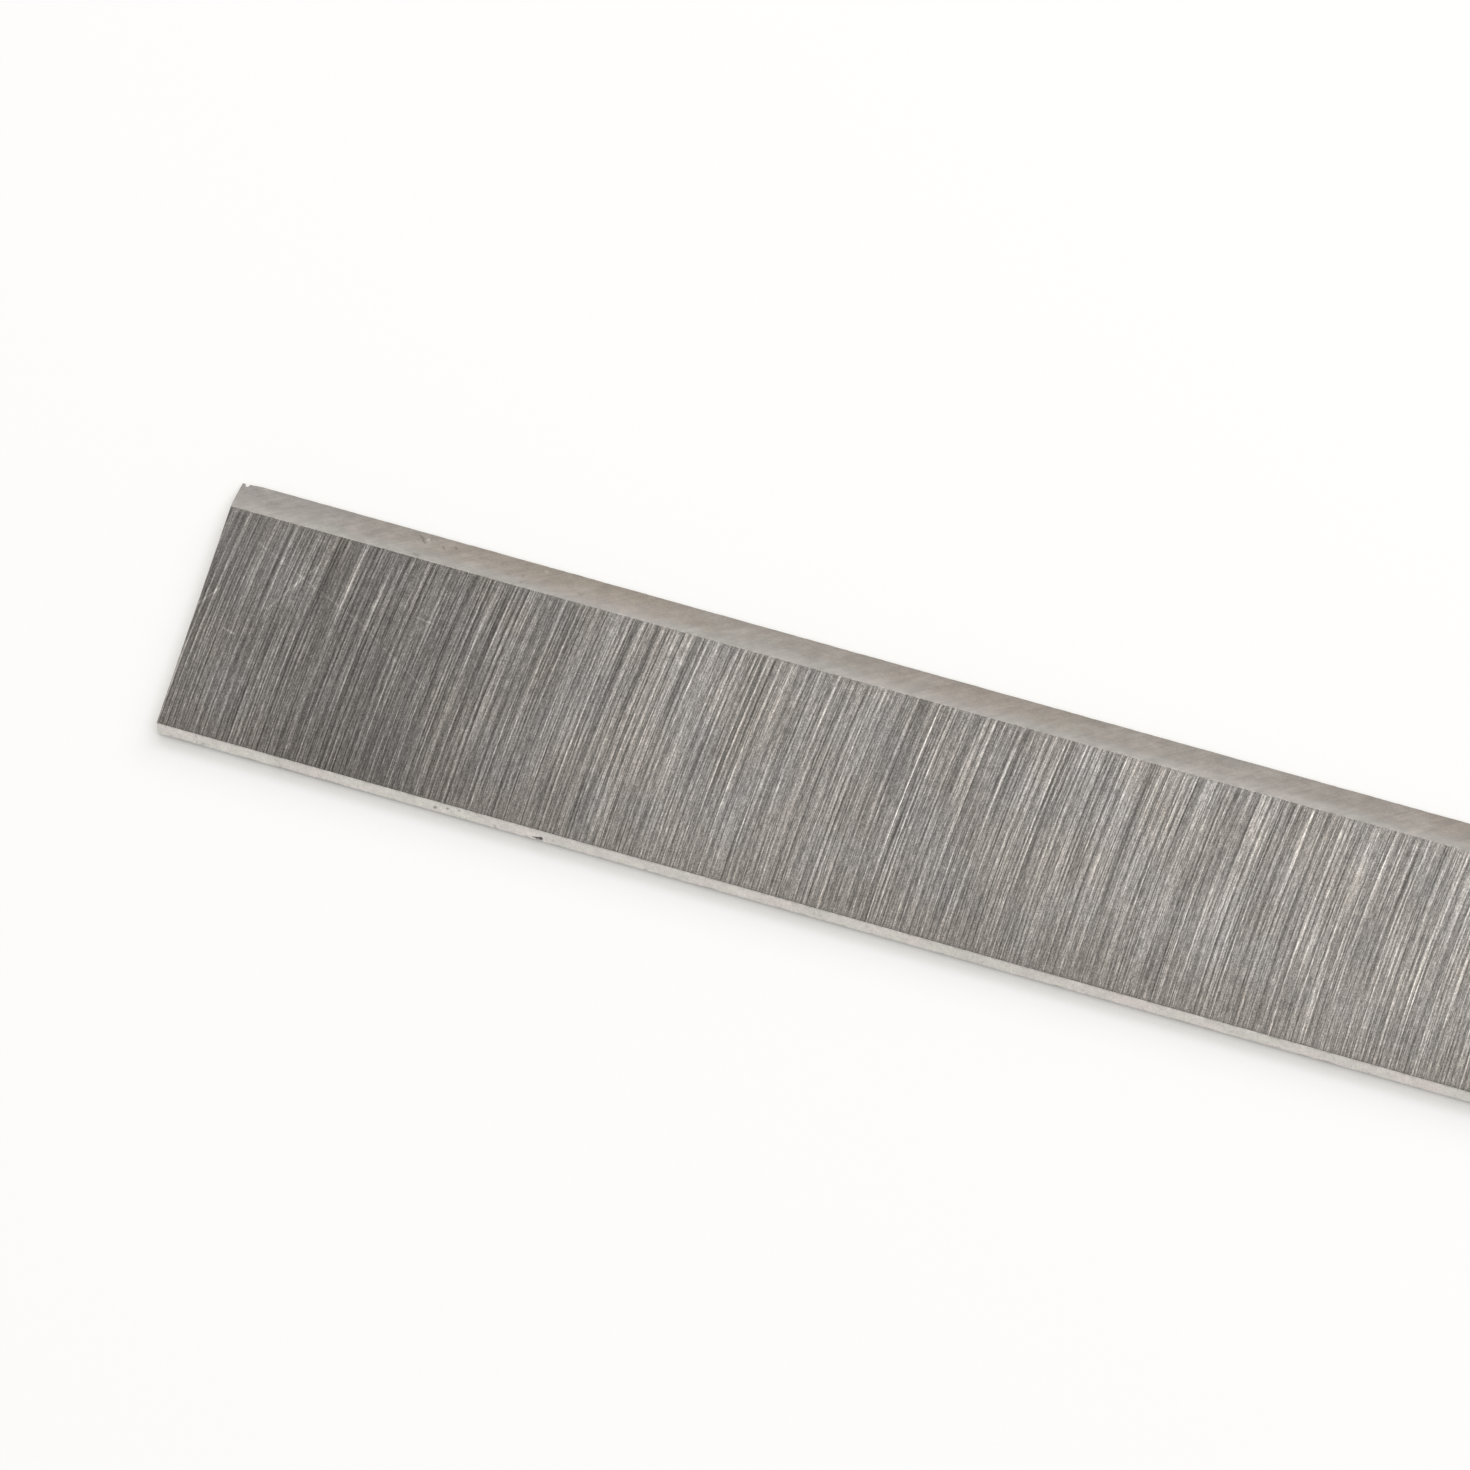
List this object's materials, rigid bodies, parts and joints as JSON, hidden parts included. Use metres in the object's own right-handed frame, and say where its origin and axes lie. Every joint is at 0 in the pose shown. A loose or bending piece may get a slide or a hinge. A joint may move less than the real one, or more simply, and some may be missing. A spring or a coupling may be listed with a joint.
{
  "type": "planer knife",
  "caption": "Flat ground steel planer knife with a full-depth bevel along its cutting edge, clamped in a cutterhead slot to shave wood.",
  "frame": {"origin": "middle of the back face, which the knife rests on", "axes": "+X along the knife, +Y from the heel towards the cutting edge, +Z out of the front face"},
  "size_m": [0.21, 0.03, 0.003],
  "materials": {
    "ground_steel": "cross-ground faces, smoother bevel, matte heel"
  },
  "bodies": {
    "root": {"planer_knife": "ground_steel"}
  },
  "joints": []
}
